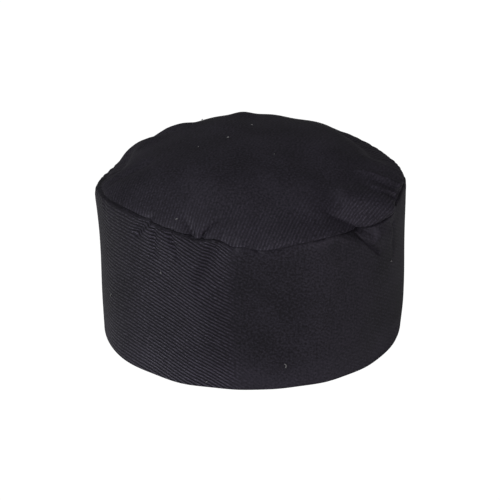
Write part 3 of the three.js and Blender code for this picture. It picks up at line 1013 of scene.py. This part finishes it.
def grown(name, mesh, tree, inputs):
    """An object of the plain mesh that a geometry node tree makes from points or a line."""
    line = bpy.data.objects.new(name + "_line", mesh)
    bpy.context.scene.collection.objects.link(line)
    modifier = line.modifiers.new(tree.name, "NODES")
    modifier.node_group = tree
    for socket in tree.interface.items_tree:
        if socket.name in inputs:
            modifier[socket.identifier] = inputs[socket.name]
    ready = line.evaluated_get(bpy.context.evaluated_depsgraph_get())
    made = bpy.data.meshes.new_from_object(ready)
    line.modifiers.clear()
    bpy.data.objects.remove(line)
    made.name = name
    piece = bpy.data.objects.new(name, made)
    bpy.context.scene.collection.objects.link(piece)
    return piece


class CHEFCAP_OT_side_band(bpy.types.Operator):
    """Sew the side band: a strip of twill with its hem turned up inside"""

    bl_idname = "chef_cap.side_band"
    bl_label = "Side band"

    def execute(self, context):
        sizes = context.scene.cap_sizes
        material = twill("black_cotton_twill_band", context.scene.cap_finish, BAND_RIB_SLANT)
        piece = shown("side_band_cloth", band_mesh(sizes), material)
        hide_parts("side_band")
        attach(piece, "root")
        return {"FINISHED"}


class CHEFCAP_OT_crown_top(bpy.types.Operator):
    """Sew on the crown top: a disc of twill, puffed up and puckered at its seam"""

    bl_idname = "chef_cap.crown_top"
    bl_label = "Crown top"

    def execute(self, context):
        sizes = context.scene.cap_sizes
        material = twill("black_cotton_twill_crown", context.scene.cap_finish, CROWN_RIB_SLANT)
        piece = shown("crown_top_cloth", crown_mesh(sizes), material)
        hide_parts("crown_top")
        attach(piece, "root")
        return {"FINISHED"}


class CHEFCAP_OT_stitching(bpy.types.Operator):
    """Overlock the raw edges inside, and stitch up the hem"""

    bl_idname = "chef_cap.stitching"
    bl_label = "Stitching"

    def execute(self, context):
        sizes = context.scene.cap_sizes
        thread = thread_finish(context.scene.cap_finish)
        overlock = stitch_tree("overlock_stitches", OVERLOCK_STROKES)
        blind = stitch_tree("blind_stitches", BLIND_STROKES)
        azimuths = np.linspace(0, FULL_TURN, STITCH_POINTS, endpoint=False)
        inside = sizes.cloth / MM + sizes.thread / MM / 2
        seam_edge = turning(azimuths, sizes.turning / MM + 0 * azimuths, sizes)
        seam_edge = seam_edge - 2 * SEAM_TOUCH - inside, seam_height(azimuths) - sizes.turning / MM
        hem = sizes.cloth / MM * HEM_BEND + SEAM_TOUCH
        hem_edge = sizes.hem_height / MM + 0 * azimuths
        hem_edge = band_face(azimuths, hem_edge, sizes) - 2 * hem - inside, hem_edge
        runs = {
            "seam_overlock": (seam_edge, 0, overlock, sizes.overlock),
            "hem_overlock": (hem_edge, -sizes.overlock / MM, overlock, sizes.overlock),
            "hem_stitches": (hem_edge, -sizes.overlock / MM - BLIND_DROP, blind, sizes.stitch / 2),
        }
        for name, ((radius, height), lift, tree, tall) in runs.items():
            points = placed(azimuths, radius, height + lift)
            line = bpy.data.meshes.new(name)
            count = len(points)
            line.from_pydata(points.tolist(), [(i, (i + 1) % count) for i in range(count)], [])
            piece = grown(name, line, tree, {
                "Length": sizes.stitch, "Height": tall, "Thickness": sizes.thread, "Thread": thread})
            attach(piece, "root")
        return {"FINISHED"}


class CHEFCAP_OT_lint(bpy.types.Operator):
    """Lay a few stray fibres on the cloth"""

    bl_idname = "chef_cap.lint"
    bl_label = "Lint"

    def execute(self, context):
        sizes = context.scene.cap_sizes
        points = bpy.data.meshes.new("lint")
        spots = [cloth_spot(lint.azimuth, lint.along, sizes) for lint in LINT]
        points.from_pydata([spot[0] for spot in spots], [], [])
        note(points, "facing", "FLOAT_VECTOR", "vector", [spot[1] for spot in spots])
        note(points, "length", "FLOAT", "value", [lint.length * MM for lint in LINT])
        note(points, "turned", "FLOAT", "value", [math.radians(lint.turn) for lint in LINT])
        piece = grown("lint_fibres", points, lint_tree(), {
            "Thickness": sizes.lint, "Fibre": lint_finish(context.scene.cap_finish)})
        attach(piece, "root")
        return {"FINISHED"}


def aimed(thing, place, target):
    """Puts an object at a place and turns its -Z towards a target."""
    thing.location = place
    thing.rotation_euler = (Vector(target) - Vector(place)).to_track_quat("-Z", "Y").to_euler()


def round_about(azimuth, elevation, distance, centre):
    """A place at an azimuth and elevation, in radians, round a centre."""
    level = distance * math.cos(elevation)
    step = (level * math.sin(azimuth), -level * math.cos(azimuth), distance * math.sin(elevation))
    return tuple(a + b for a, b in zip(centre, step))


def studio_camera(studio):
    """The camera at the photograph's angle, with the cap as large as it is there."""
    camera = bpy.data.cameras.new("camera")
    camera.sensor_width = SENSOR_WIDTH
    camera.lens = camera.sensor_width * studio.distance / (PICTURE_WIDTH * studio.pixel)
    seen = bpy.data.objects.new("camera", camera)
    bpy.context.scene.collection.objects.link(seen)
    aimed(seen, round_about(0, studio.elevation, studio.distance, TARGET), TARGET)
    return seen


def soft_light(box, power):
    """A softbox that faces the cap."""
    lamp = bpy.data.lights.new(box.name + "_softbox", "AREA")
    lamp.shape = "RECTANGLE"
    lamp.size, lamp.size_y = SOFTBOX_SIZE
    lamp.energy = power
    lamp.color = linear(box.colour)
    light = bpy.data.objects.new(lamp.name, lamp)
    bpy.context.scene.collection.objects.link(light)
    angles = math.radians(box.azimuth), math.radians(box.elevation)
    aimed(light, round_about(*angles, SOFTBOX_DISTANCE, TARGET), TARGET)


def white_card(colour):
    """White card, coated and matt: it throws soft light up at the cap and looks evenly white."""
    material, tree, shader = new_material("white_card")
    shader.inputs["Base Color"].default_value = (*colour, 1)
    shader.inputs["Roughness"].default_value = 1.0
    shader.inputs["Specular IOR Level"].default_value = 0.0
    ray = node(tree, "ShaderNodeLightPath")
    white = node(tree, "ShaderNodeEmission", {"Color": (1, 1, 1, 1), "Strength": FLOOR_WHITE})
    seen = node(tree, "ShaderNodeMixShader", {
        0: ray.outputs["Is Camera Ray"], 1: shader.outputs["BSDF"], 2: white.outputs["Emission"]})
    tree.links.new(seen.outputs["Shader"], tree.nodes["Material Output"].inputs["Surface"])
    return material


def studio_floor(colour):
    """The flat floor that the cap stands on."""
    mesh = bpy.data.meshes.new("floor")
    sides = ((-1, -1), (1, -1), (1, 1), (-1, 1))
    mesh.from_pydata([(x * FLOOR_REACH, y * FLOOR_REACH, 0) for x, y in sides], [], [(0, 1, 2, 3)])
    return shown("floor", mesh, white_card(colour))


def studio_world():
    """A faint even light from everywhere."""
    world = bpy.data.worlds.new("studio")
    world.use_nodes = True
    background = world.node_tree.nodes["Background"]
    background.inputs["Color"].default_value = (1, 1, 1, 1)
    background.inputs["Strength"].default_value = WORLD_LIGHT
    return world


class CHEFCAP_OT_studio(bpy.types.Operator):
    """Set up the floor, the soft lights and the camera"""

    bl_idname = "chef_cap.studio"
    bl_label = "Studio"

    def execute(self, context):
        studio = context.scene.cap_studio
        context.scene.camera = studio_camera(studio)
        for box in SOFTBOXES:
            soft_light(box, getattr(studio, box.name))
        studio_floor(studio.floor)
        context.scene.world = studio_world()
        context.scene.view_settings.view_transform = "Standard"
        return {"FINISHED"}


class CHEFCAP_PT_panel(bpy.types.Panel):
    """Chef cap builder"""

    bl_label = "Chef Cap"
    bl_idname = "CHEFCAP_PT_panel"
    bl_space_type = "VIEW_3D"
    bl_region_type = "UI"
    bl_category = "Chef Cap"

    def draw(self, context):
        for group in (context.scene.cap_sizes, context.scene.cap_finish, context.scene.cap_studio):
            box = self.layout.box()
            for key in group.__annotations__:
                box.prop(group, key)
        for operator in OPERATORS:
            self.layout.operator(operator.bl_idname)


OPERATORS = (
    CHEFCAP_OT_side_band, CHEFCAP_OT_crown_top, CHEFCAP_OT_stitching, CHEFCAP_OT_lint,
    CHEFCAP_OT_studio)
GROUPS = {"cap_sizes": CapSizes, "cap_finish": CapFinish, "cap_studio": CapStudio}


def register():
    """Registers the sizes, the operators and the panel."""
    for name, group in GROUPS.items():
        bpy.utils.register_class(group)
        setattr(bpy.types.Scene, name, PointerProperty(type=group))
    for operator in OPERATORS:
        bpy.utils.register_class(operator)
    bpy.utils.register_class(CHEFCAP_PT_panel)


def unregister():
    """Takes them out again."""
    bpy.utils.unregister_class(CHEFCAP_PT_panel)
    for operator in reversed(OPERATORS):
        bpy.utils.unregister_class(operator)
    for name, group in GROUPS.items():
        delattr(bpy.types.Scene, name)
        bpy.utils.unregister_class(group)


def main():
    """Builds the cap and its studio."""
    register()
    bpy.ops.chef_cap.side_band()
    bpy.ops.chef_cap.crown_top()
    bpy.ops.chef_cap.stitching()
    bpy.ops.chef_cap.lint()
    bpy.ops.chef_cap.studio()


if __name__ == "__main__":
    main()
